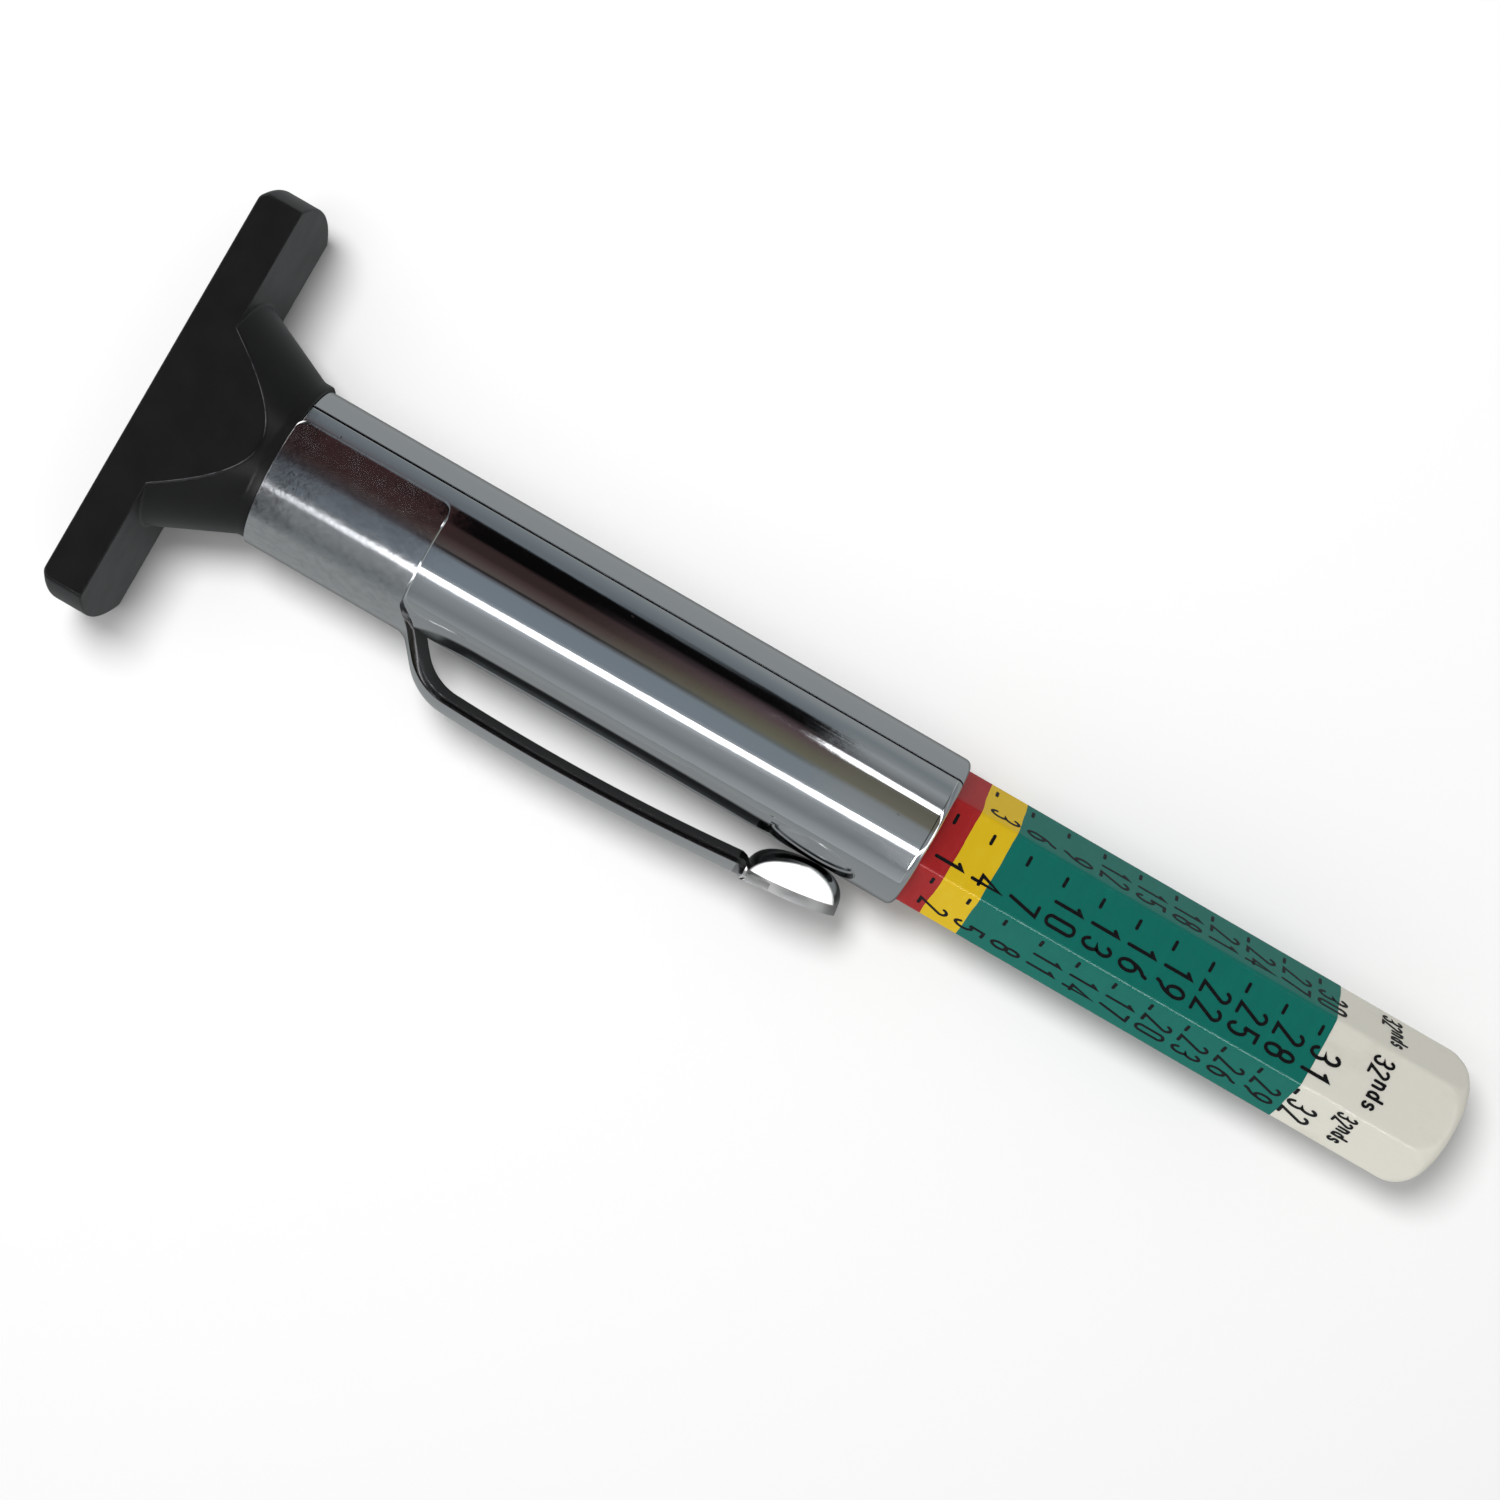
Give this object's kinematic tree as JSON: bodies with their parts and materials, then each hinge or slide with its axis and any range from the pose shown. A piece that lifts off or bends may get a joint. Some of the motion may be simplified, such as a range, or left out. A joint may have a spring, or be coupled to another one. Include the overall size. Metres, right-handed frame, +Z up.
{
  "type": "tread depth gauge",
  "caption": "Pocket tread depth gauge: a tee-shaped foot on a chromed sleeve with a pocket clip, and a colour-zoned hexagonal scale bar that slides and pushes a steel probe out of the foot.",
  "frame": {"origin": "centre of the foot's flat face, on the axis of the probe", "axes": "+X along the gauge from the foot's face to the scale bar's free end, +Z up out of one of the head's two flats, pocket clip on the -Y side; the gauge lies on its side, as on a bench"},
  "size_m": [0.0849, 0.0268, 0.0104],
  "materials": {
    "black_plastic": "moulded, fine satin grain",
    "chromed_tube": "bright chrome on a rolled tube, fine lengthwise lines",
    "chromed_clip": "bright chrome on spring strip",
    "spring_steel": "plain wire",
    "ring_rubber": "matt",
    "white_plastic": "moulded, warm white, semi-gloss",
    "red_ink": "printed enamel ink",
    "yellow_ink": "printed enamel ink",
    "green_ink": "printed enamel ink",
    "black_ink": "printed ink",
    "probe_steel": "drawn wire, turned tip"
  },
  "bodies": {
    "body": {"tee_head": "black_plastic", "sleeve": "chromed_tube", "clip_band": "chromed_clip"},
    "clip": {"clip_arm": "chromed_clip"},
    "slider": {"stop_ring": "spring_steel", "friction_ring": "ring_rubber"},
    "bar": {"scale_bar": "white_plastic", "red_band": "red_ink", "yellow_band": "yellow_ink", "green_band": "green_ink", "tick_marks": "black_ink", "probe_pin": "probe_steel"}
  },
  "joints": [
    {"name": "clip_flex", "type": "hinge", "parent": "body", "child": "clip", "pos_m": [0.01808, -0.00499, -0.00026], "axis": [0, 0.0523, -0.9986], "range_deg": [0, 4], "stiffness_Nm_per_rad": 0.9},
    {"name": "bar_slide", "type": "slide", "parent": "body", "child": "slider", "axis": [-1, 0, 0], "range_m": [0, 0.0254]},
    {"name": "bar_spin", "type": "hinge", "parent": "slider", "child": "bar", "pos_m": [0.05, 0, 0], "axis": [1, 0, 0], "continuous": true}
  ]
}
